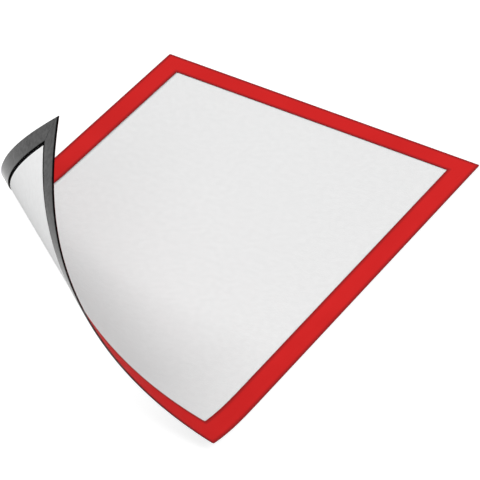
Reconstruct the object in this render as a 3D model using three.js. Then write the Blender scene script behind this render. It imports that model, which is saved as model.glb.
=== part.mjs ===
// Magnetic display frame for an A4 sheet, lying on its magnet strips with one corner curled up.
// Millimetres, +Z up. The short side runs along X and the long side along Y. The origin is the
// middle of the frame, on the plane that the magnet strips rest on. The front face looks up.
//
// The frame is a thin laminate. From the front: a coloured border film with a window cut in it,
// a clear window film behind it, and four mitred magnet strips on adhesive tape round the back.
// The insert lies behind the window film, inside the strips. Every layer is a flat outline that
// bends with the same curl, so the layers stay parallel all the way to the lifted corner.

import * as THREE from "three";

// The insert that the frame is made for
const INSERT_WIDTH = 210;
const INSERT_HEIGHT = 297;
const INSERT_THICKNESS = 0.12;
const INSERT_PLAY = 0.05; // the loose sheet stands this far off the window film

// Widths across the rim, from the outside in
const STRIP_SETBACK = 1.1; // the strips stop short of the border's outer edge
const STRIP_WIDTH = 11.5;
const INSERT_CLEARANCE = 2.4; // from the strips to the insert, on all four sides
const WINDOW_LAP = 0.7; // the border covers the insert's edge by this much
const WINDOW_FILM_SETBACK = 1; // the window film stops inside the border's outer edge
const TAPE_INSET = 0.5; // the tape is narrower than its strip, on both sides
const MITRE_GAP = 0.2; // between two strips, across their mitre
const OUTER_CORNER_RADIUS = 0.8;
const WINDOW_CORNER_RADIUS = 1;

// Thicknesses of the layers
const BORDER_FILM_THICKNESS = 0.2;
const WINDOW_FILM_THICKNESS = 0.2;
const TAPE_THICKNESS = 0.1;
const STRIP_THICKNESS = 0.5;
const BOND_LINE = 0.02; // clearance between two bonded layers

// The curl. It starts on a line across the lower left corner and bends the sheet along straight
// rulings that fan out from one point, so the sheet takes the shape of a cone and isn't stretched.
const CURL_UP_LEFT_EDGE = 191; // from the lower left corner to the curl's start, on the left edge
const CURL_UP_RIGHT_EDGE = 53; // from the lower right corner to its start, on the right edge
const FAN_REACH = 390; // from the fan's point to the left edge, along the start line
const CURL_RADIUS = 44.9; // the tightest radius, measured at the left edge's distance from the point
const CURL_EASE_IN = 18; // bending grows from nothing over this length of sheet
const CURL_ROUND = 60; // bending stays at its tightest over this length
const CURL_EASE_OUT = 61; // and fades again over this length, towards the free corner
const FACET_LENGTH = 3; // length of sheet, at the left edge, in each flat facet of the curl

// Straight pieces in each rounded corner, an even number
const CORNER_FACETS = 6;

const COLOURS = {
  border: { color: 0xcb2426, roughness: 0.45 },
  window: { color: 0xe4e6e6, roughness: 0.35, transparent: true, opacity: 0.35 },
  tape: { color: 0xd8d2c0, roughness: 0.6 },
  magnet: { color: 0x4a4a4c, roughness: 0.5 },
  insert: { color: 0xf2f2f0, roughness: 0.9 },
};

// Sizes that follow from the ones above
const INSERT_MARGIN = STRIP_SETBACK + STRIP_WIDTH + INSERT_CLEARANCE;
const FRAME_WIDTH = INSERT_WIDTH + 2 * INSERT_MARGIN;
const FRAME_HEIGHT = INSERT_HEIGHT + 2 * INSERT_MARGIN;
const BORDER_WIDTH = INSERT_MARGIN + WINDOW_LAP;

// Each layer's front and back, measured down from the border's front face
const layerBelow = (above, gap, thickness) => ({
  front: above.back - gap,
  back: above.back - gap - thickness,
});
const BORDER_LAYER = { front: 0, back: -BORDER_FILM_THICKNESS };
const WINDOW_LAYER = layerBelow(BORDER_LAYER, BOND_LINE, WINDOW_FILM_THICKNESS);
const TAPE_LAYER = layerBelow(WINDOW_LAYER, BOND_LINE, TAPE_THICKNESS);
const STRIP_LAYER = layerBelow(TAPE_LAYER, BOND_LINE, STRIP_THICKNESS);
const INSERT_LAYER = layerBelow(WINDOW_LAYER, INSERT_PLAY, INSERT_THICKNESS);

// How far the sheet has turned after a length of curl. Its bending rises to 1 / CURL_RADIUS,
// stays there and falls again, so this is the area under a trapezoid.
function turnAfter(length) {
  const rise = THREE.MathUtils.clamp(length, 0, CURL_EASE_IN);
  const round = THREE.MathUtils.clamp(length - CURL_EASE_IN, 0, CURL_ROUND);
  const fall = THREE.MathUtils.clamp(length - CURL_EASE_IN - CURL_ROUND, 0, CURL_EASE_OUT);
  const area = rise ** 2 / (2 * CURL_EASE_IN) + round + fall - fall ** 2 / (2 * CURL_EASE_OUT);
  return area / CURL_RADIUS;
}

// The fold lines that the curl is made of, in the flat sheet. Each has the point that all of them
// pass through, its direction, the side it folds up, its angle, and the move that carries the
// facet before it to its place. The last facet's move is kept as well.
function makeFolds() {
  const startLeft = new THREE.Vector2(-FRAME_WIDTH / 2, CURL_UP_LEFT_EDGE - FRAME_HEIGHT / 2);
  const startRight = new THREE.Vector2(FRAME_WIDTH / 2, CURL_UP_RIGHT_EDGE - FRAME_HEIGHT / 2);
  const alongStart = startRight.clone().sub(startLeft).normalize();
  const fanPoint = startLeft.clone().addScaledVector(alongStart, -FAN_REACH);
  const freeCorner = new THREE.Vector2(-FRAME_WIDTH / 2, -FRAME_HEIGHT / 2).sub(fanPoint);
  const fanAngle = alongStart.angle() - freeCorner.angle() + 2 * Math.PI;
  const curlLength = (fanAngle % (2 * Math.PI)) * FAN_REACH;
  const count = Math.ceil(curlLength / FACET_LENGTH);
  const step = curlLength / count;

  const folds = [];
  const move = new THREE.Matrix4();
  for (let i = 0; i < count; i++) {
    const angle = alongStart.angle() - ((i + 0.5) * step) / FAN_REACH;
    const along = new THREE.Vector2(Math.cos(angle), Math.sin(angle));
    const across = new THREE.Vector2(along.y, -along.x);
    const turn = turnAfter((i + 1) * step) - turnAfter(i * step);
    folds.push({ through: fanPoint, across, turn, move: move.clone() });
    const hinge = new THREE.Vector3(fanPoint.x, fanPoint.y, 0);
    const axis = new THREE.Vector3(-along.x, -along.y, 0);
    move.multiply(new THREE.Matrix4().makeTranslation(hinge));
    move.multiply(new THREE.Matrix4().makeRotationAxis(axis, turn));
    move.multiply(new THREE.Matrix4().makeTranslation(hinge.negate()));
  }
  return { folds, lastMove: move };
}

const { folds: FOLDS, lastMove: LAST_MOVE } = makeFolds();
const ON_FOLD = 1e-6;

const distancePast = (fold, point) => point.clone().sub(fold.through).dot(fold.across);

// Where a point of the flat sheet goes, at a level below the front face. A point on a fold moves
// across it until its level meets the same level of the next facet, as a mitre does.
function bend(point, level) {
  const fold = FOLDS.find((candidate) => distancePast(candidate, point) < ON_FOLD);
  if (!fold) return new THREE.Vector3(point.x, point.y, level).applyMatrix4(LAST_MOVE);
  const onFold = distancePast(fold, point) > -ON_FOLD;
  const slide = onFold ? -level * Math.tan(fold.turn / 2) : 0;
  const place = point.clone().addScaledVector(fold.across, slide);
  return new THREE.Vector3(place.x, place.y, level).applyMatrix4(fold.move);
}

// Cuts a convex polygon along a fold into the part before it and the part past it.
function cutAtFold(polygon, fold) {
  const before = [];
  const past = [];
  polygon.forEach((point, i) => {
    const next = polygon[(i + 1) % polygon.length];
    const here = distancePast(fold, point);
    const there = distancePast(fold, next);
    if (here <= ON_FOLD) before.push(point);
    if (here >= -ON_FOLD) past.push(point);
    if ((here < -ON_FOLD && there > ON_FOLD) || (here > ON_FOLD && there < -ON_FOLD)) {
      const crossing = point.clone().lerp(next, here / (here - there));
      before.push(crossing);
      past.push(crossing);
    }
  });
  return { before, past };
}

// Divides a flat outline into convex cells, none of which crosses a fold. An arc gets two straight
// pieces for each division that it is asked for.
function cellsOf(outline) {
  const { shape: contour, holes } = outline.extractPoints(CORNER_FACETS / 2);
  const triangles = THREE.ShapeUtils.triangulateShape(contour, holes);
  const points = [contour, ...holes].flat();
  const triangle = (corners) => corners.map((corner) => points[corner]);
  const convexParts = holes.length === 0 ? [contour] : triangles.map(triangle);
  const cells = [];
  for (const polygon of convexParts) {
    let rest = THREE.ShapeUtils.isClockWise(polygon) ? [...polygon].reverse() : polygon;
    for (const fold of FOLDS) {
      const { before, past } = cutAtFold(rest, fold);
      if (before.length > 2) cells.push(before);
      rest = past;
      if (rest.length < 3) break;
    }
    if (rest.length > 2) cells.push(rest);
  }
  return cells;
}

// A closed solid: the outline's cells at the layer's front and back, and a wall on every cell
// edge that no other cell shares.
function bentLayer(outline, layer) {
  const keys = new Map();
  const vertices = [];
  const indexOf = (point) => {
    const key = `${point.x.toFixed(4)} ${point.y.toFixed(4)}`;
    if (!keys.has(key)) {
      keys.set(key, vertices.length / 3);
      for (const level of [layer.front, layer.back]) vertices.push(...bend(point, level).toArray());
    }
    return keys.get(key);
  };
  const cells = cellsOf(outline).map((cell) => [...new Set(cell.map(indexOf))]);
  const edges = new Set();
  const faces = [];
  for (const cell of cells.filter((corners) => corners.length > 2)) {
    cell.forEach((corner, i) => edges.add(`${corner} ${cell[(i + 1) % cell.length]}`));
    for (let i = 1; i < cell.length - 1; i++) {
      const [a, b, c] = [cell[0], cell[i], cell[i + 1]];
      faces.push(a, b, c, c + 1, b + 1, a + 1);
    }
  }
  for (const edge of edges) {
    const [from, to] = edge.split(" ").map(Number);
    if (edges.has(`${to} ${from}`)) continue;
    faces.push(to, from, from + 1, to, from + 1, to + 1);
  }
  const geometry = new THREE.BufferGeometry();
  geometry.setAttribute("position", new THREE.Float32BufferAttribute(vertices, 3));
  geometry.setIndex(faces);
  geometry.computeVertexNormals();
  return geometry;
}

// A rectangle about the frame's middle, this far inside its outer edge, with rounded corners.
function centredRectangle(inset, radius, Outline = THREE.Shape) {
  const x = FRAME_WIDTH / 2 - inset;
  const y = FRAME_HEIGHT / 2 - inset;
  const outline = new Outline();
  outline.moveTo(-x + radius, -y);
  outline.lineTo(x - radius, -y);
  if (radius > 0) outline.absarc(x - radius, -y + radius, radius, -Math.PI / 2, 0);
  outline.lineTo(x, y - radius);
  if (radius > 0) outline.absarc(x - radius, y - radius, radius, 0, Math.PI / 2);
  outline.lineTo(-x + radius, y);
  if (radius > 0) outline.absarc(-x + radius, y - radius, radius, Math.PI / 2, Math.PI);
  outline.lineTo(-x, -y + radius);
  if (radius > 0) outline.absarc(-x + radius, -y + radius, radius, Math.PI, 1.5 * Math.PI);
  return outline;
}

// The four sides of the rim: the quarter turns that carry the bottom side to each, half its length,
// and the distance from the frame's middle to its outer edge.
const SIDES = {
  bottom: { quarterTurns: 0, halfLength: FRAME_WIDTH / 2, halfDepth: FRAME_HEIGHT / 2 },
  right: { quarterTurns: 1, halfLength: FRAME_HEIGHT / 2, halfDepth: FRAME_WIDTH / 2 },
  top: { quarterTurns: 2, halfLength: FRAME_WIDTH / 2, halfDepth: FRAME_HEIGHT / 2 },
  left: { quarterTurns: 3, halfLength: FRAME_HEIGHT / 2, halfDepth: FRAME_WIDTH / 2 },
};

// A strip along one side, between two distances from the frame's outer edge. Its ends are cut on
// the frame's mitre lines, and stand back by half the gap between two strips.
function mitredStrip({ quarterTurns, halfLength, halfDepth }, outerInset, innerInset, endGap) {
  const back = (endGap / 2) * Math.SQRT2;
  const corners = [
    [-halfLength + outerInset + back, -halfDepth + outerInset],
    [halfLength - outerInset - back, -halfDepth + outerInset],
    [halfLength - innerInset - back, -halfDepth + innerInset],
    [-halfLength + innerInset + back, -halfDepth + innerInset],
  ];
  const middle = new THREE.Vector2();
  const turned = corners.map(([x, y]) =>
    new THREE.Vector2(x, y).rotateAround(middle, (quarterTurns * Math.PI) / 2));
  return new THREE.Shape(turned);
}

function borderFilm() {
  const outline = centredRectangle(0, OUTER_CORNER_RADIUS);
  outline.holes.push(centredRectangle(BORDER_WIDTH, WINDOW_CORNER_RADIUS, THREE.Path));
  return bentLayer(outline, BORDER_LAYER);
}

function windowFilm() {
  return bentLayer(centredRectangle(WINDOW_FILM_SETBACK, 0), WINDOW_LAYER);
}

function insertSheet() {
  return bentLayer(centredRectangle(INSERT_MARGIN, 0), INSERT_LAYER);
}

function magnetStrip(side) {
  const outline = mitredStrip(side, STRIP_SETBACK, STRIP_SETBACK + STRIP_WIDTH, MITRE_GAP);
  return bentLayer(outline, STRIP_LAYER);
}

function adhesiveTape(side) {
  const outer = STRIP_SETBACK + TAPE_INSET;
  const inner = STRIP_SETBACK + STRIP_WIDTH - TAPE_INSET;
  return bentLayer(mitredStrip(side, outer, inner, MITRE_GAP + 2 * TAPE_INSET), TAPE_LAYER);
}

const group = new THREE.Group();
group.position.z = -STRIP_LAYER.back;

function addPiece(name, geometry, colour) {
  const mesh = new THREE.Mesh(geometry, new THREE.MeshStandardMaterial({ metalness: 0, ...colour }));
  mesh.name = name;
  group.add(mesh);
}

addPiece("border_film", borderFilm(), COLOURS.border);
addPiece("window_film", windowFilm(), COLOURS.window);
addPiece("insert_sheet", insertSheet(), COLOURS.insert);
for (const [name, side] of Object.entries(SIDES)) {
  addPiece(`adhesive_tape_${name}`, adhesiveTape(side), COLOURS.tape);
  addPiece(`magnet_strip_${name}`, magnetStrip(side), COLOURS.magnet);
}

export default group;
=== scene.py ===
# %% [markdown]
# A magnetic display frame with one corner curled up.
# The object is a thin laminate: a red border film with a window cut in it, a clear window film,
# four magnet strips on adhesive tape, and the A4 sheet that it shows. No layer is thicker than half
# a millimetre, so its whole character is in one smooth curl that every layer shares, in crisp
# edges, and in five finishes: satin film, clear film, paper, tape and magnetic rubber.
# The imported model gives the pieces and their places. Each one gets a finer surface here, worked out
# from the same flat sizes and the same curl, and then its finish.

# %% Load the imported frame
import math

import bpy
import numpy as np
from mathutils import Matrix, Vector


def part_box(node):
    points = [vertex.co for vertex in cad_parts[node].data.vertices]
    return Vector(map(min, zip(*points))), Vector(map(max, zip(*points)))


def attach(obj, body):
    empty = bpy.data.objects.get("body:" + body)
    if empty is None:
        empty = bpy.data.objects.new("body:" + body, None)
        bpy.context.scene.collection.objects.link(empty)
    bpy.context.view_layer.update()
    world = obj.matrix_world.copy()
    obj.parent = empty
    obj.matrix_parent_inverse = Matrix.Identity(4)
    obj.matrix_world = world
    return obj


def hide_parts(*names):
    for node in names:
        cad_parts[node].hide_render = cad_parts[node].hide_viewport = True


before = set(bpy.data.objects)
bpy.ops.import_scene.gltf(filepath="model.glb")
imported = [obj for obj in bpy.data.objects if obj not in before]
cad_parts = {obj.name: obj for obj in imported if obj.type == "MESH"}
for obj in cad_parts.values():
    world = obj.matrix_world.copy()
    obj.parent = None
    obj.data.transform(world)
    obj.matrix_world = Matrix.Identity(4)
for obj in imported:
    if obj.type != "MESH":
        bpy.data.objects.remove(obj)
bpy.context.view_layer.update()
BODY = "root"
print("nodes:", sorted(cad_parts))

# %% [markdown]
# The flat laminate.
# These are the driving sizes of the construction, in metres. The frame is as large as its A4 sheet
# plus the same margin all round, and each layer is set in from the outer edge by its own amount.
# Bonded layers keep a gap of 0.02 mm between them, so that no two pieces share a face.

# %% Sizes of the flat laminate
MM = 0.001
INSERT_WIDTH = 210 * MM
INSERT_HEIGHT = 297 * MM
STRIP_SETBACK = 1.1 * MM
STRIP_WIDTH = 11.5 * MM
INSERT_CLEARANCE = 2.4 * MM
WINDOW_LAP = 0.7 * MM
WINDOW_FILM_SETBACK = 1 * MM
TAPE_INSET = 0.5 * MM
MITRE_GAP = 0.2 * MM
OUTER_CORNER_RADIUS = 0.8 * MM
WINDOW_CORNER_RADIUS = 1 * MM

INSERT_MARGIN = STRIP_SETBACK + STRIP_WIDTH + INSERT_CLEARANCE
FRAME_WIDTH = INSERT_WIDTH + 2 * INSERT_MARGIN
FRAME_HEIGHT = INSERT_HEIGHT + 2 * INSERT_MARGIN
BORDER_WIDTH = INSERT_MARGIN + WINDOW_LAP
print("frame in mm:", round(FRAME_WIDTH / MM, 2), "x", round(FRAME_HEIGHT / MM, 2))

# %% Thicknesses, stacked from the front face down
BORDER_FILM_THICKNESS = 0.2 * MM
WINDOW_FILM_THICKNESS = 0.2 * MM
TAPE_THICKNESS = 0.1 * MM
STRIP_THICKNESS = 0.5 * MM
INSERT_THICKNESS = 0.12 * MM
BOND_LINE = 0.02 * MM
INSERT_PLAY = 0.05 * MM


def layer_below(above, gap, thickness):
    """A layer's front and back level, this far behind the layer above it."""
    front = above[1] - gap
    return front, front - thickness


BORDER_LAYER = (0.0, -BORDER_FILM_THICKNESS)
WINDOW_LAYER = layer_below(BORDER_LAYER, BOND_LINE, WINDOW_FILM_THICKNESS)
TAPE_LAYER = layer_below(WINDOW_LAYER, BOND_LINE, TAPE_THICKNESS)
STRIP_LAYER = layer_below(TAPE_LAYER, BOND_LINE, STRIP_THICKNESS)
INSERT_LAYER = layer_below(WINDOW_LAYER, INSERT_PLAY, INSERT_THICKNESS)
FRONT_HEIGHT = -STRIP_LAYER[1]
print("thickness in mm:", round(FRONT_HEIGHT / MM, 3))

# %% [markdown]
# The camera.
# The photograph was taken from well back with a long lens, so the far edge is hardly smaller than
# the near one. The camera is given as a photographer would set it: what it aims at on the table,
# how far round and how high it stands, how far off, and its lens.

# %% Camera
AIM = (27.988 * MM, 15.406 * MM, 0.0)
AZIMUTH = math.radians(31.767)
ELEVATION = math.radians(38.291)
CAMERA_DISTANCE = 2.0251
LENS_MM = 240.06
SENSOR_MM = 36.0
FARTHEST_SEEN = 50.0

camera_data = bpy.data.cameras.new("camera")
camera_data.lens = LENS_MM
camera_data.sensor_width = SENSOR_MM
camera_data.clip_end = FARTHEST_SEEN
camera = bpy.data.objects.new("camera", camera_data)
bpy.context.scene.collection.objects.link(camera)
camera.location = (
    AIM[0] + CAMERA_DISTANCE * math.sin(AZIMUTH) * math.cos(ELEVATION),
    AIM[1] - CAMERA_DISTANCE * math.cos(AZIMUTH) * math.cos(ELEVATION),
    AIM[2] + CAMERA_DISTANCE * math.sin(ELEVATION),
)
camera.rotation_euler = (math.pi / 2 - ELEVATION, 0.0, AZIMUTH)
bpy.context.scene.camera = camera
print("camera at", [round(c, 4) for c in camera.location])

# %% [markdown]
# The curl.
# Film bends but doesn't stretch, so a peeled corner can't take any shape that looks round: it has
# to be a developable surface. Here the straight lines of that surface, its rulings, all pass
# through one point far out on the left, which makes the curl a cone. Sculpting or a lattice would
# look soft and would stretch the border. Instead the sheet is drawn flat and then bent by formula:
# each ruling keeps its length, and the sheet turns a little more from one ruling to the next.

# %% The bending along the fan
CURL_UP_LEFT_EDGE = 191 * MM
CURL_UP_RIGHT_EDGE = 53 * MM
FAN_REACH = 390 * MM
CURL_RADIUS = 44.9 * MM
CURL_EASE_IN = 18 * MM
CURL_ROUND = 60 * MM
CURL_EASE_OUT = 61 * MM
FAN_STEPS = 1500


def turn_after(length):
    """How far the sheet has turned after a length of curl.

    The bending rises evenly to 1 / CURL_RADIUS, stays there and fades again. The turn is the area
    under that trapezoid.
    """
    rise = np.clip(length, 0, CURL_EASE_IN)
    middle = np.clip(length - CURL_EASE_IN, 0, CURL_ROUND)
    fall = np.clip(length - CURL_EASE_IN - CURL_ROUND, 0, CURL_EASE_OUT)
    area = rise**2 / (2 * CURL_EASE_IN) + middle + fall - fall**2 / (2 * CURL_EASE_OUT)
    return area / CURL_RADIUS


# %% The rulings of the cone
start_left = np.array([-FRAME_WIDTH / 2, CURL_UP_LEFT_EDGE - FRAME_HEIGHT / 2])
start_right = np.array([FRAME_WIDTH / 2, CURL_UP_RIGHT_EDGE - FRAME_HEIGHT / 2])
along_start = (start_right - start_left) / np.linalg.norm(start_right - start_left)
fan_point = start_left - FAN_REACH * along_start
start_angle = math.atan2(along_start[1], along_start[0])
free_corner = np.array([-FRAME_WIDTH / 2, -FRAME_HEIGHT / 2]) - fan_point
fan_angle = start_angle - math.atan2(free_corner[1], free_corner[0])
curl_length = fan_angle * FAN_REACH
print("curl length in mm:", round(curl_length / MM, 1))
print("turn at the corner in degrees:", round(math.degrees(turn_after(curl_length)), 1))


def fan_of_rulings():
    """Directions of the rulings, and of the front face's normal on each, at even steps of curl.

    A frame of three directions travels over the fan: along the ruling, across it, and the normal.
    At each step it swings about the normal by its share of the fan's angle, and then tips about
    the ruling by what the turn grows.
    """
    lengths = np.linspace(0, curl_length, FAN_STEPS + 1)
    tips = np.diff(turn_after(lengths))
    swing = fan_angle / FAN_STEPS
    along = np.array([along_start[0], along_start[1], 0.0])
    across = np.array([along_start[1], -along_start[0], 0.0])
    normal = np.array([0.0, 0.0, 1.0])
    rulings = [along]
    normals = [normal]
    for tip in tips:
        along, across = (
            along * math.cos(swing) + across * math.sin(swing),
            across * math.cos(swing) - along * math.sin(swing),
        )
        across, normal = (
            across * math.cos(tip) + normal * math.sin(tip),
            normal * math.cos(tip) - across * math.sin(tip),
        )
        rulings.append(along)
        normals.append(normal)
    return lengths, np.array(rulings), np.array(normals)


fan_lengths, fan_rulings, fan_normals = fan_of_rulings()


# %% Bend flat points
def unit(vectors):
    """The same directions at length one."""
    return vectors / np.linalg.norm(vectors, axis=-1, keepdims=True)


def on_fan(lengths, directions):
    """A direction of the fan at any length of curl, between the ones that are known."""
    parts = [np.interp(lengths, fan_lengths, directions[:, i]) for i in range(3)]
    return unit(np.stack(parts, axis=-1))


def curl_before(x, y):
    """The length of curl that a flat point has behind it, less than nothing before the curl starts.

    It is the fan's angle from the start line to the point, times FAN_REACH.
    """
    angle = np.arctan2(y - fan_point[1], x - fan_point[0])
    return (start_angle - angle) * FAN_REACH


def bend(x, y, level):
    """Where points of the flat sheet go, at a level above its front face.

    In polar coordinates about the fan's point, a point at distance r on a ruling goes to
    fan point + r * ruling + level * normal. Points before the curl's start stay where they are.
    """
    reach = np.hypot(x - fan_point[0], y - fan_point[1])
    curl = curl_before(x, y)
    rulings = on_fan(np.clip(curl, 0, None), fan_rulings)
    normals = on_fan(np.clip(curl, 0, None), fan_normals)
    hinge = np.array([fan_point[0], fan_point[1], 0.0])
    curled = hinge + reach[..., None] * rulings + level[..., None] * normals
    flat = np.stack([x, y, level], axis=-1)
    placed = np.where(curl[..., None] > 0, curled, flat)
    return placed + np.array([0.0, 0.0, FRONT_HEIGHT])


corners_x = np.array([-FRAME_WIDTH / 2, FRAME_WIDTH / 2])
corners_y = np.full(2, -FRAME_HEIGHT / 2)
lifted = bend(corners_x, corners_y, np.zeros(2))
print("lower corners in mm:", np.round(lifted / MM, 1).tolist())

# %% [markdown]
# Two-faced sheets.
# Each layer is made the same way: a grid of points on the flat sheet gives a front surface and a
# back surface, and a wall joins them round the rim. A cut edge in film or rubber is never perfectly
# sharp, so near the rim both surfaces drop towards each other on a small quarter circle, and a
# support row just inside keeps the shading of the large flat face from bleeding into it.
# The layers lie only 0.02 mm apart, and a straight edge from point to point cuts the curve by its
# squared length over eight radii, which for a diagonal is about as much. Left to Blender, a
# four-sided face may be cut across the curl on one surface and along it on the next, and the layers
# all but touch. So every face is cut here, along the diagonal that lies closer to a ruling, where
# the sheet is straight.

# %% Places across a layer
ROUNDING_STEPS = 3
SUPPORT = 0.1 * MM
BAND_STEP = 1.5 * MM
SHEET_STEP = 2 * MM


def stations(start, end, step, radius):
    """Places from start to end: a quarter circle's at each end, and even ones in between.

    The quarter circle's places lie at radius * (1 - cos(angle)) from the rim.
    """
    quarter = np.linspace(0, np.pi / 2, ROUNDING_STEPS + 1)
    rim = radius * (1 - np.cos(quarter))
    first = start + radius + SUPPORT
    last = end - radius - SUPPORT
    count = max(2, math.ceil((last - first) / step) + 1)
    return np.concatenate([start + rim, np.linspace(first, last, count), (end - rim)[::-1]])


def rounding_drop(edge_distance, radius):
    """How far a rounded face lies below its flat level, at a distance from the rim.

    It is radius - sqrt(radius^2 - n^2), where n is how much nearer than the radius the rim is.
    """
    near = np.clip(radius - edge_distance, 0, radius)
    return radius - np.sqrt(radius**2 - near**2)


diagonal_cut = 2 * SHEET_STEP**2 / (8 * CURL_RADIUS)
print("a diagonal of the widest grid can cut the curve by, in mm:", round(diagonal_cut / MM, 3))


# %% Faces of a grid
def grid_faces(rows, columns, closed):
    """The grid's four-sided faces, and the edges of its rim in the same order of travel.

    Point (i, j) has number i * columns + j. A closed grid's last row joins its first.
    """
    number = np.arange(rows * columns).reshape(rows, columns)
    if closed:
        number = np.concatenate([number, number[:1]])
    faces = np.stack(
        [number[:-1, :-1], number[1:, :-1], number[1:, 1:], number[:-1, 1:]], axis=-1
    ).reshape(-1, 4)
    rim = [
        np.stack([number[:-1, 0], number[1:, 0]], axis=-1),
        np.stack([number[1:, -1], number[:-1, -1]], axis=-1),
    ]
    if not closed:
        rim.append(np.stack([number[-1, :-1], number[-1, 1:]], axis=-1))
        rim.append(np.stack([number[0, 1:], number[0, :-1]], axis=-1))
    return faces, np.concatenate(rim)


def cut_along_rulings(faces, curl):
    """Two triangles for each four-sided face, cut along the diagonal that lies closer to a ruling.

    All points of a ruling have the same curl behind them, so that is the diagonal whose two ends
    differ less in it.
    """
    a, b, c, d = faces.T
    from_a = (np.abs(curl[a] - curl[c]) < np.abs(curl[b] - curl[d]))[:, None]
    first = np.where(from_a, np.stack([a, b, c], axis=-1), np.stack([a, b, d], axis=-1))
    second = np.where(from_a, np.stack([a, c, d], axis=-1), np.stack([b, c, d], axis=-1))
    return np.concatenate([first, second])


# %% Join two faces into one closed mesh
FACE_FRONT = 0
FACE_BACK = 1
FACE_WALL = 2
PATTERN_MAP = "pattern"
RIM_DISTANCE = "rim_distance"


def two_faced_sheet(name, grid, layer, radius, finishes):
    """A closed mesh from one grid of flat points, with its two faces and the wall between them.

    A flat point goes to bend(x, y, front level - drop) on the front and to
    bend(x, y, back level + drop) on the back, where the drop is that of the rounded rim. The
    finishes are for the front, the back and the wall, in this order.
    """
    rows, columns = grid["x"].shape
    count = rows * columns
    drop = rounding_drop(grid["edge_distance"], radius)
    front = bend(grid["x"], grid["y"], layer[0] - drop).reshape(-1, 3)
    back = bend(grid["x"], grid["y"], layer[1] + drop).reshape(-1, 3)
    faces, rim = grid_faces(rows, columns, grid["closed"])
    faces = cut_along_rulings(faces, curl_before(grid["x"], grid["y"]).ravel())
    walls = np.concatenate([
        np.stack([rim[:, 1], rim[:, 0], rim[:, 0] + count], axis=-1),
        np.stack([rim[:, 1], rim[:, 0] + count, rim[:, 1] + count], axis=-1),
    ])
    corners = np.concatenate([faces, faces[:, ::-1] + count, walls])
    kinds = np.repeat([FACE_FRONT, FACE_BACK, FACE_WALL], [len(faces), len(faces), len(walls)])

    mesh = bpy.data.meshes.new(name)
    mesh.vertices.add(2 * count)
    mesh.vertices.foreach_set("co", np.concatenate([front, back]).astype(np.float32).ravel())
    mesh.loops.add(corners.size)
    mesh.loops.foreach_set("vertex_index", corners.astype(np.int32).ravel())
    mesh.polygons.add(len(corners))
    mesh.polygons.foreach_set("loop_start", np.arange(0, corners.size, 3, dtype=np.int32))
    mesh.polygons.foreach_set("material_index", kinds.astype(np.int32))
    mesh.polygons.foreach_set("use_smooth", np.ones(len(corners), dtype=bool))

    pattern = np.stack([grid["pattern_u"], grid["pattern_v"]], axis=-1).reshape(-1, 2)
    uv = mesh.uv_layers.new(name=PATTERN_MAP)
    uv.data.foreach_set("uv", pattern[corners.ravel() % count].astype(np.float32).ravel())
    rim_attribute = mesh.attributes.new(RIM_DISTANCE, "FLOAT", "POINT")
    rim_values = np.tile(grid["edge_distance"].ravel(), 2).astype(np.float32)
    rim_attribute.data.foreach_set("value", rim_values)
    mesh.update(calc_edges=True)
    mesh.validate()
    for finish in finishes:
        mesh.materials.append(finish)
    piece = bpy.data.objects.new(name, mesh)
    bpy.context.scene.collection.objects.link(piece)
    return piece


# %% [markdown]
# Where the layers' outlines come from.
# The rim has four sides. A band is drawn along the bottom side, with its ends cut square or on the
# mitre, and a quarter turn carries it to any other side. A whole sheet is a very wide band. The
# border is one closed ring instead, because it is die-cut in one piece: its rows run from the
# outer outline to the window, all the way round.

# %% Bands along a side
SIDES = {
    "bottom": (0, FRAME_WIDTH / 2, FRAME_HEIGHT / 2),
    "right": (1, FRAME_HEIGHT / 2, FRAME_WIDTH / 2),
    "top": (2, FRAME_WIDTH / 2, FRAME_HEIGHT / 2),
    "left": (3, FRAME_HEIGHT / 2, FRAME_WIDTH / 2),
}


def band_grid(side, outer, inner, radius, step, mitred, end_gap=0.0):
    """Flat points of a band between two distances from the frame's outer edge.

    A point lies at (2 * share - 1) * half length along the side and at its inset from the edge,
    and the quarter turns then carry it to its side. On a mitre the band gets shorter by its
    distance from the edge, at both ends.
    """
    quarter_turns, half_length, half_depth = SIDES[side]
    lean = math.sqrt(2) if mitred else 1.0
    insets = stations(outer, inner, step, radius)
    half = half_length - (insets if mitred else outer) - end_gap / 2 * lean
    middle_length = 2 * half[len(half) // 2] if mitred else 2 * half
    share = stations(0, middle_length, step, radius * lean) / middle_length
    along = (2 * share[:, None] - 1) * (np.zeros(len(insets)) + half)
    inset = np.zeros(len(share))[:, None] + insets
    to_sides = np.minimum(insets - outer, inner - insets)
    to_ends = np.minimum(share, 1 - share) * middle_length / lean
    turn = quarter_turns * math.pi / 2
    depth = inset - half_depth
    return {
        "x": along * math.cos(turn) - depth * math.sin(turn),
        "y": along * math.sin(turn) + depth * math.cos(turn),
        "edge_distance": np.minimum(to_sides, to_ends[:, None]),
        "pattern_u": along,
        "pattern_v": inset,
        "closed": False,
    }


# %% The ring of the border
CORNER_STEPS = 8


def rounded_rectangle(inset, radius, side_steps):
    """Points once round a rectangle with rounded corners, this far inside the outer edge.

    The four corners are quarter circles. Between them each side has the same number of steps for
    every inset, so that the points of two such rectangles pair up.
    """
    half = np.array([FRAME_WIDTH / 2 - inset - radius, FRAME_HEIGHT / 2 - inset - radius])
    signs = [(-1, -1), (1, -1), (1, 1), (-1, 1)]
    arcs = []
    for quarter, sign in enumerate(signs):
        angles = np.linspace(math.pi, 1.5 * math.pi, CORNER_STEPS + 1) + quarter * math.pi / 2
        arcs.append(np.array(sign) * half + radius * np.stack([np.cos(angles), np.sin(angles)], -1))
    points = []
    for quarter, arc in enumerate(arcs):
        following = arcs[(quarter + 1) % 4]
        share = np.linspace(0, 1, side_steps[quarter % 2], endpoint=False)[1:, None]
        points.append(arc)
        points.append(arc[-1] + (following[0] - arc[-1]) * share)
    return np.concatenate(points)


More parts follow.
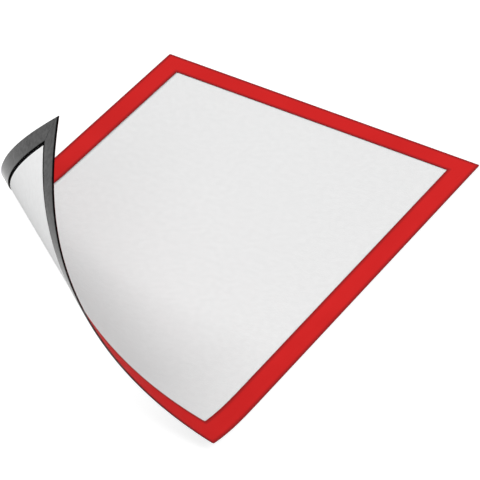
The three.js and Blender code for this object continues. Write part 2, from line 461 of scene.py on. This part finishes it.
def border_grid(radius):
    """Flat points of the border: each row runs straight from the outer outline to the window's.

    A point lies at outline + (window - outline) * inset / border width.
    """
    side_steps = (math.ceil(FRAME_WIDTH / BAND_STEP), math.ceil(FRAME_HEIGHT / BAND_STEP))
    outline = rounded_rectangle(0.0, OUTER_CORNER_RADIUS, side_steps)
    window = rounded_rectangle(BORDER_WIDTH, WINDOW_CORNER_RADIUS, side_steps)
    insets = stations(0.0, BORDER_WIDTH, BAND_STEP, radius)
    share = (insets / BORDER_WIDTH)[None, :, None]
    points = outline[:, None] + (window - outline)[:, None] * share
    edge_distance = np.minimum(insets, BORDER_WIDTH - insets)
    return {
        "x": points[..., 0],
        "y": points[..., 1],
        "edge_distance": np.zeros(len(points))[:, None] + edge_distance,
        "pattern_u": points[..., 0],
        "pattern_v": points[..., 1],
        "closed": True,
    }


# %% [markdown]
# Finishes.
# Every finish is one Principled shader. Its patterns read the piece's own flat map, in metres, so a
# grain or a streak follows the sheet round the curl and has its real size: a pattern of 0.5 mm is
# a noise of scale 2000. The node trees are short and alike, so a few helpers build them.

# %% Helpers for node trees
class Finish:
    """A material with one Principled shader, and short ways to add the nodes that feed it."""

    def __init__(self, name, **sockets):
        self.material = bpy.data.materials.new(name)
        self.material.use_nodes = True
        self.tree = self.material.node_tree
        self.shader = self.tree.nodes["Principled BSDF"]
        for socket, value in sockets.items():
            self.shader.inputs[socket.replace("_", " ")].default_value = value
        self.flat_map = self.add("ShaderNodeUVMap")
        self.flat_map.uv_map = PATTERN_MAP

    def add(self, kind, **inputs):
        """A node, with values or links for its inputs by their number, as i0, i1 and so on."""
        node = self.tree.nodes.new(kind)
        for key, value in inputs.items():
            socket = node.inputs[int(key[1:])]
            if isinstance(value, bpy.types.NodeSocket):
                self.tree.links.new(value, socket)
            else:
                socket.default_value = value
        return node

    def noise(self, size, stretch=(1.0, 1.0), detail=2.0, shift=0.0):
        """Noise with spots of a real size on the flat map.

        The spots are longer along u or v by the stretch, and the pattern is moved along u by the
        shift.
        """
        mapping = self.add("ShaderNodeMapping", i0=self.flat_map.outputs["UV"])
        mapping.inputs["Location"].default_value = (shift, 0.0, 0.0)
        mapping.inputs["Scale"].default_value = (1 / stretch[0], 1 / stretch[1], 1.0)
        noise = self.add("ShaderNodeTexNoise")
        self.tree.links.new(mapping.outputs[0], noise.inputs["Vector"])
        noise.inputs["Scale"].default_value = 1 / size
        noise.inputs["Detail"].default_value = detail
        return noise.outputs["Fac"]

    def between(self, share, low, high, from_low=0.35, from_high=0.65):
        """The share, spread from one range of values to another.

        Noise lies mostly between 0.35 and 0.65, so it is spread from that range.
        """
        spread = self.add(
            "ShaderNodeMapRange", i0=share, i1=from_low, i2=from_high, i3=low, i4=high
        )
        return spread.outputs[0]

    def mix(self, share, first, second):
        """Two colours, mixed by a share."""
        mix = self.tree.nodes.new("ShaderNodeMix")
        mix.data_type = "RGBA"
        for socket, value in (("Factor", share), ("A", first), ("B", second)):
            matches = [s for s in mix.inputs if s.name == socket and s.type in ("RGBA", "VALUE")]
            target = matches[0] if socket == "Factor" else matches[-1]
            if isinstance(value, bpy.types.NodeSocket):
                self.tree.links.new(value, target)
            else:
                target.default_value = value
        return [s for s in mix.outputs if s.type == "RGBA"][0]

    def rim(self):
        """The distance from the piece's nearest cut edge, in metres."""
        attribute = self.tree.nodes.new("ShaderNodeAttribute")
        attribute.attribute_name = RIM_DISTANCE
        return attribute.outputs["Fac"]

    def relief(self, height, depth):
        """Small bumps of a real depth, in metres."""
        bump = self.tree.nodes.new("ShaderNodeBump")
        bump.inputs["Strength"].default_value = 1.0
        bump.inputs["Distance"].default_value = depth
        self.tree.links.new(height, bump.inputs["Height"])
        self.feed("Normal", bump.outputs[0])

    def feed(self, socket, source):
        """Links a node's output to the shader."""
        self.tree.links.new(source, self.shader.inputs[socket])


def place(piece, node):
    """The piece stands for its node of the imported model, and rides on the object's one body."""
    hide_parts(node)
    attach(piece, BODY)
    low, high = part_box(node)
    bare = np.array([low, high])
    dressed = np.array([piece.matrix_world @ v.co for v in piece.data.vertices])
    drift = np.abs(np.array([dressed.min(0), dressed.max(0)]) - bare).max()
    faces = len(piece.data.polygons)
    print(piece.name, "faces", faces, "furthest from its node's box in mm", round(drift / MM, 3))


# %% [markdown]
# The border film.
# It is a satin vinyl, red in front and black behind, die-cut in one piece. Its front is not quite
# one red: the calender leaves faint clouds and a fine grain, and close to a cut edge the black
# reverse makes the red darker. The wall of the cut is a dark maroon, where red runs into black.
# The darker rim could be painted on, but the mesh carries each point's distance to the cut edge,
# so the rim gets its width as a plain number.

# %% Border film
FILM_ROUNDING = 0.08 * MM
BORDER_RED = (0.63, 0.019, 0.019, 1.0)
BORDER_RED_CLOUD = (0.59, 0.017, 0.017, 1.0)
BORDER_RED_EDGE = (0.22, 0.014, 0.016, 1.0)
EDGE_TONE = 2.8 * MM
REVERSE_BLACK = (0.002, 0.002, 0.002, 1.0)
REVERSE_BLACK_CLOUD = (0.004, 0.004, 0.004, 1.0)
CUT_MAROON = (0.20, 0.008, 0.010, 1.0)
CUT_MAROON_GRAIN = (0.28, 0.010, 0.012, 1.0)


def red_film():
    """The front: faint clouds, a fine grain, and a darker rim that fades in over EDGE_TONE."""
    finish = Finish("red_satin_film", Roughness=0.52, Specular_IOR_Level=0.02)
    cloud = finish.noise(45 * MM)
    red = finish.mix(finish.between(cloud, 0.0, 1.0), BORDER_RED, BORDER_RED_CLOUD)
    inside = finish.between(finish.rim(), 0.0, 1.0, 0.0, EDGE_TONE)
    finish.feed("Base Color", finish.mix(inside, BORDER_RED_EDGE, red))
    grain = finish.noise(0.6 * MM)
    finish.feed("Roughness", finish.between(grain, 0.46, 0.58))
    finish.relief(grain, 0.006 * MM)
    return finish.material


def black_film():
    """The reverse: a matt black that hardly varies."""
    finish = Finish("black_film_reverse", Roughness=0.5, Specular_IOR_Level=0.0)
    cloud = finish.noise(20 * MM)
    black = finish.between(cloud, 0.0, 1.0)
    finish.feed("Base Color", finish.mix(black, REVERSE_BLACK, REVERSE_BLACK_CLOUD))
    grain = finish.noise(0.5 * MM)
    finish.feed("Roughness", finish.between(grain, 0.45, 0.6))
    finish.relief(grain, 0.005 * MM)
    return finish.material


def film_cut():
    """The wall of the cut, with the grain that the blade leaves."""
    finish = Finish("cut_film_edge", Roughness=0.6, Specular_IOR_Level=0.1)
    grain = finish.noise(0.3 * MM)
    tone = finish.between(grain, 0.0, 1.0)
    finish.feed("Base Color", finish.mix(tone, CUT_MAROON, CUT_MAROON_GRAIN))
    finish.relief(grain, 0.005 * MM)
    return finish.material


RED_FILM = red_film()
BLACK_FILM = black_film()
FILM_CUT = film_cut()
border_film = two_faced_sheet(
    "border_film_sheet", border_grid(FILM_ROUNDING), BORDER_LAYER, FILM_ROUNDING,
    [RED_FILM, BLACK_FILM, FILM_CUT],
)
place(border_film, "border_film")

# %% [markdown]
# The window film.
# A clear film with an anti-glare face. Real glass shading would need light to find its way through
# a wall 0.2 mm thick, which is slow and grainy, so the film is a faint grey veil by alpha: it takes
# a little light and leaves the sheet behind it in view, and it must not whiten the black reverse of
# the border, which shows through it at the back.

# %% Window film
WINDOW_ROUNDING = 0.05 * MM
VEIL_ALPHA = 0.03
VEIL_GREY = (0.06, 0.062, 0.065, 1.0)
VEIL_GREY_HAZE = (0.08, 0.083, 0.087, 1.0)


def clear_film():
    """A faint grey veil with the fine grain of an anti-glare face."""
    finish = Finish("clear_window_film", Roughness=0.3, Alpha=VEIL_ALPHA, Specular_IOR_Level=0.5)
    haze = finish.noise(30 * MM)
    tint = finish.between(haze, 0.0, 1.0)
    finish.feed("Base Color", finish.mix(tint, VEIL_GREY, VEIL_GREY_HAZE))
    grain = finish.noise(0.4 * MM)
    finish.feed("Roughness", finish.between(grain, 0.26, 0.36))
    finish.relief(grain, 0.004 * MM)
    return finish.material


CLEAR_FILM = clear_film()
window_grid = band_grid(
    "bottom", WINDOW_FILM_SETBACK, FRAME_HEIGHT - WINDOW_FILM_SETBACK, WINDOW_ROUNDING,
    SHEET_STEP, mitred=False,
)
window_film = two_faced_sheet(
    "window_film_sheet", window_grid, WINDOW_LAYER, WINDOW_ROUNDING, [CLEAR_FILM] * 3
)
place(window_film, "window_film")

# %% [markdown]
# The insert.
# One sheet of plain white office paper. Paper is never a flat white: pulp settles in soft clouds a
# few millimetres wide, and the surface has a fine tooth. A single flat white looks like plastic in
# a render, so noise of two sizes gives the clouds and the tooth.

# %% Insert sheet
PAPER_ROUNDING = 0.03 * MM
PAPER_CLOUD = (0.864, 0.866, 0.867, 1.0)
PAPER_WHITE = (0.894, 0.896, 0.897, 1.0)


def white_paper():
    """White with soft pulp clouds and a fine tooth."""
    finish = Finish("white_paper", Roughness=0.85, Specular_IOR_Level=0.2)
    cloud = finish.noise(4 * MM, detail=3.0)
    tone = finish.between(cloud, 0.0, 1.0)
    finish.feed("Base Color", finish.mix(tone, PAPER_CLOUD, PAPER_WHITE))
    tooth = finish.noise(0.35 * MM)
    finish.feed("Roughness", finish.between(tooth, 0.8, 0.9))
    finish.relief(tooth, 0.008 * MM)
    return finish.material


WHITE_PAPER = white_paper()
insert_grid = band_grid(
    "bottom", INSERT_MARGIN, FRAME_HEIGHT - INSERT_MARGIN, PAPER_ROUNDING, SHEET_STEP, mitred=False
)
insert_sheet = two_faced_sheet(
    "insert_sheet_paper", insert_grid, INSERT_LAYER, PAPER_ROUNDING, [WHITE_PAPER] * 3
)
place(insert_sheet, "insert_sheet")

# %% [markdown]
# The adhesive tapes.
# A thin pale transfer tape bonds each strip to the window film. Only its edge could show, deep in
# the groove between film and strip, so it gets a plain finish with a little unevenness.

# %% Adhesive tapes
TAPE_ROUNDING = 0.02 * MM
TAPE_GAP = MITRE_GAP + 2 * TAPE_INSET
TAPE_CREAM = (0.66, 0.63, 0.54, 1.0)
TAPE_CREAM_LIGHT = (0.72, 0.70, 0.62, 1.0)


def pale_tape():
    """Cream with a little unevenness in tone and gloss."""
    finish = Finish("pale_transfer_tape", Roughness=0.55, Specular_IOR_Level=0.4)
    cloud = finish.noise(3 * MM)
    tone = finish.between(cloud, 0.0, 1.0)
    finish.feed("Base Color", finish.mix(tone, TAPE_CREAM, TAPE_CREAM_LIGHT))
    finish.feed("Roughness", finish.between(finish.noise(0.8 * MM), 0.5, 0.65))
    return finish.material


PALE_TAPE = pale_tape()
for side in SIDES:
    tape_grid = band_grid(
        side, STRIP_SETBACK + TAPE_INSET, STRIP_SETBACK + STRIP_WIDTH - TAPE_INSET,
        TAPE_ROUNDING, BAND_STEP, mitred=True, end_gap=TAPE_GAP,
    )
    tape = two_faced_sheet(
        f"adhesive_tape_{side}_band", tape_grid, TAPE_LAYER, TAPE_ROUNDING, [PALE_TAPE] * 3
    )
    place(tape, f"adhesive_tape_{side}")

# %% [markdown]
# The magnet strips.
# Magnetic rubber is calendered: rollers leave streaks along its length and a dull sheen that turns
# bright where the strip bends away from the eye. Its powder mottles the black in spots of a few
# millimetres. Paler clouds a few centimetres wide vary at random, and they are moved along the strip
# so that one lies where the lifted corner turns: there the base colour paints the sheen highlight.
# Slitting the strip bares the black compound on its cut walls and mitred ends. A picture of rubber
# would repeat and stretch. The streaks are noise instead, drawn out sixty times along the strip's
# own flat map, so they run round the curl with it.

# %% Magnet strips
STRIP_ROUNDING = 0.12 * MM
STREAK_STRETCH = 60.0
# The pale clouds are moved along the strips so that they lie at the lifted corner, where they paint
# the strip's sheen highlight.
PAINTED_SHEEN_SHIFT = 211 * MM
RUBBER_BLACK = (0.006, 0.006, 0.006, 1.0)
# The paler colour of the clouds below paints the sheen highlight where the lifted corner turns.
RUBBER_BLOOM_PAINTED_SHEEN = (0.036, 0.036, 0.036, 1.0)
RUBBER_MOTTLE = (0.075, 0.075, 0.076, 1.0)
MOTTLE_STRENGTH = 0.6
CUT_RUBBER = (0.008, 0.008, 0.008, 1.0)
CUT_RUBBER_GRAIN = (0.016, 0.016, 0.016, 1.0)


def magnet_face():
    """Black, paler in clouds that paint a sheen highlight at the lifted corner, mottled, and streaked
    along the strip in gloss and relief.
    """
    finish = Finish("calendered_magnet_rubber", Roughness=0.16, Specular_IOR_Level=0.14)
    # Pale clouds in the base colour: random in shape, but placed to paint the sheen highlight at the
    # lifted corner.
    bloom_and_sheen_noise = finish.noise(22 * MM, detail=3.0, shift=PAINTED_SHEEN_SHIFT)
    sheen_clouded = finish.mix(finish.between(bloom_and_sheen_noise, 0.0, 1.0), RUBBER_BLACK, RUBBER_BLOOM_PAINTED_SHEEN)
    mottle = finish.noise(3 * MM, detail=3.0)
    spots = finish.between(mottle, 0.0, MOTTLE_STRENGTH)
    mottled = finish.mix(spots, sheen_clouded, RUBBER_MOTTLE)
    finish.feed("Base Color", mottled)
    streaks = finish.noise(1.5 * MM, stretch=(STREAK_STRETCH, 1.0), detail=4.0)
    finish.feed("Roughness", finish.between(streaks, 0.12, 0.20))
    finish.relief(streaks, 0.01 * MM)
    return finish.material


def magnet_cut():
    """The bare compound on the slit walls and mitred ends."""
    finish = Finish("cut_magnet_rubber", Roughness=0.65, Specular_IOR_Level=0.25)
    grain = finish.noise(0.3 * MM)
    tone = finish.between(grain, 0.0, 1.0)
    finish.feed("Base Color", finish.mix(tone, CUT_RUBBER, CUT_RUBBER_GRAIN))
    finish.relief(grain, 0.01 * MM)
    return finish.material


MAGNET_FACE = magnet_face()
MAGNET_CUT = magnet_cut()
for side in SIDES:
    strip_grid = band_grid(
        side, STRIP_SETBACK, STRIP_SETBACK + STRIP_WIDTH, STRIP_ROUNDING, BAND_STEP,
        mitred=True, end_gap=MITRE_GAP,
    )
    strip = two_faced_sheet(
        f"magnet_strip_{side}_band", strip_grid, STRIP_LAYER, STRIP_ROUNDING,
        [MAGNET_FACE, MAGNET_FACE, MAGNET_CUT],
    )
    place(strip, f"magnet_strip_{side}")

# %% [markdown]
# The studio.
# The photograph is cut out on white, and its light is so soft that the frame casts no clear shadow.
# A pale floor catches a faint one here. For the camera and for reflections, the floor adds a share
# of plain white to what the lamps give it, so the background is white while the lamps stay at a
# level where colours render as they are written.

# %% Floor
FLOOR_SIZE = 40.0
FLOOR_DEPTH = 0.3 * MM
FLOOR_PLAIN = (0.5, 0.5, 0.5, 1.0)
FLOOR_SHADE = (0.45, 0.45, 0.45, 1.0)
FLOOR_GLOW = 0.72


def seen_rays(tree):
    """One for rays from the camera and for rays that mirrors and glass send on, else zero."""
    path = tree.nodes.new("ShaderNodeLightPath")
    seen = path.outputs["Is Camera Ray"]
    for other in ("Is Glossy Ray", "Is Transmission Ray"):
        either = tree.nodes.new("ShaderNodeMath")
        either.operation = "MAXIMUM"
        tree.links.new(seen, either.inputs[0])
        tree.links.new(path.outputs[other], either.inputs[1])
        seen = either.outputs[0]
    return seen


def pale_floor():
    """Plain grey for the light in the room, and shade plus a white glow for rays that are seen."""
    material = bpy.data.materials.new("pale_floor")
    material.use_nodes = True
    tree = material.node_tree
    tree.nodes.clear()
    output = tree.nodes.new("ShaderNodeOutputMaterial")
    plain = tree.nodes.new("ShaderNodeBsdfDiffuse")
    plain.inputs["Color"].default_value = FLOOR_PLAIN
    shaded = tree.nodes.new("ShaderNodeBsdfDiffuse")
    shaded.inputs["Color"].default_value = FLOOR_SHADE
    glow = tree.nodes.new("ShaderNodeEmission")
    glow.inputs["Strength"].default_value = FLOOR_GLOW
    both = tree.nodes.new("ShaderNodeAddShader")
    tree.links.new(shaded.outputs[0], both.inputs[0])
    tree.links.new(glow.outputs[0], both.inputs[1])
    choose = tree.nodes.new("ShaderNodeMixShader")
    tree.links.new(seen_rays(tree), choose.inputs[0])
    tree.links.new(plain.outputs[0], choose.inputs[1])
    tree.links.new(both.outputs[0], choose.inputs[2])
    tree.links.new(choose.outputs[0], output.inputs["Surface"])
    return material


half_floor = FLOOR_SIZE / 2
floor_mesh = bpy.data.meshes.new("floor")
floor_corners = [(-1, -1), (1, -1), (1, 1), (-1, 1)]
floor_mesh.from_pydata(
    [(x * half_floor, y * half_floor, -FLOOR_DEPTH) for x, y in floor_corners], [], [(0, 1, 2, 3)]
)
floor_mesh.materials.append(pale_floor())
floor = bpy.data.objects.new("floor", floor_mesh)
bpy.context.scene.collection.objects.link(floor)

# %% World
WHITE = (1.0, 1.0, 1.0, 1.0)
WHITE_SEEN = 1.0
SKY_LIGHT = 0.35

world = bpy.data.worlds.new("studio")
bpy.context.scene.world = world
world.use_nodes = True
world_tree = world.node_tree
world_tree.nodes.clear()
world_output = world_tree.nodes.new("ShaderNodeOutputWorld")
sky = world_tree.nodes.new("ShaderNodeBackground")
sky.inputs["Color"].default_value = WHITE
sky.inputs["Strength"].default_value = SKY_LIGHT
white = world_tree.nodes.new("ShaderNodeBackground")
white.inputs["Color"].default_value = WHITE
white.inputs["Strength"].default_value = WHITE_SEEN
pick = world_tree.nodes.new("ShaderNodeMixShader")
world_tree.links.new(seen_rays(world_tree), pick.inputs[0])
world_tree.links.new(sky.outputs[0], pick.inputs[1])
world_tree.links.new(white.outputs[0], pick.inputs[2])
world_tree.links.new(pick.outputs[0], world_output.inputs["Surface"])

# %% Lamps
LAMP_TARGET = (0.0, 0.0, 0.03)


def softbox(name, azimuth, elevation, distance, size, power):
    """A square area lamp that looks at the frame from an azimuth and elevation, in degrees."""
    data = bpy.data.lights.new(name, "AREA")
    data.shape = "SQUARE"
    data.size = size
    data.energy = power
    lamp = bpy.data.objects.new(name, data)
    bpy.context.scene.collection.objects.link(lamp)
    around = math.radians(azimuth)
    up = math.radians(elevation)
    lamp.location = (
        LAMP_TARGET[0] + distance * math.sin(around) * math.cos(up),
        LAMP_TARGET[1] - distance * math.cos(around) * math.cos(up),
        LAMP_TARGET[2] + distance * math.sin(up),
    )
    lamp.rotation_euler = (math.pi / 2 - up, 0.0, around)
    lamp.visible_camera = False
    return lamp


softbox("left_softbox", azimuth=-103, elevation=30, distance=2.4, size=1.2, power=35)
softbox("right_softbox", azimuth=90, elevation=45, distance=2.4, size=1.6, power=24)
softbox("front_softbox", azimuth=20, elevation=25, distance=2.4, size=1.6, power=23)

# %% [markdown]
# The picture is shown as it is lit, with the plain Standard view. The looks may not change the
# size.

# %% View transform
bpy.context.scene.view_settings.view_transform = "Standard"
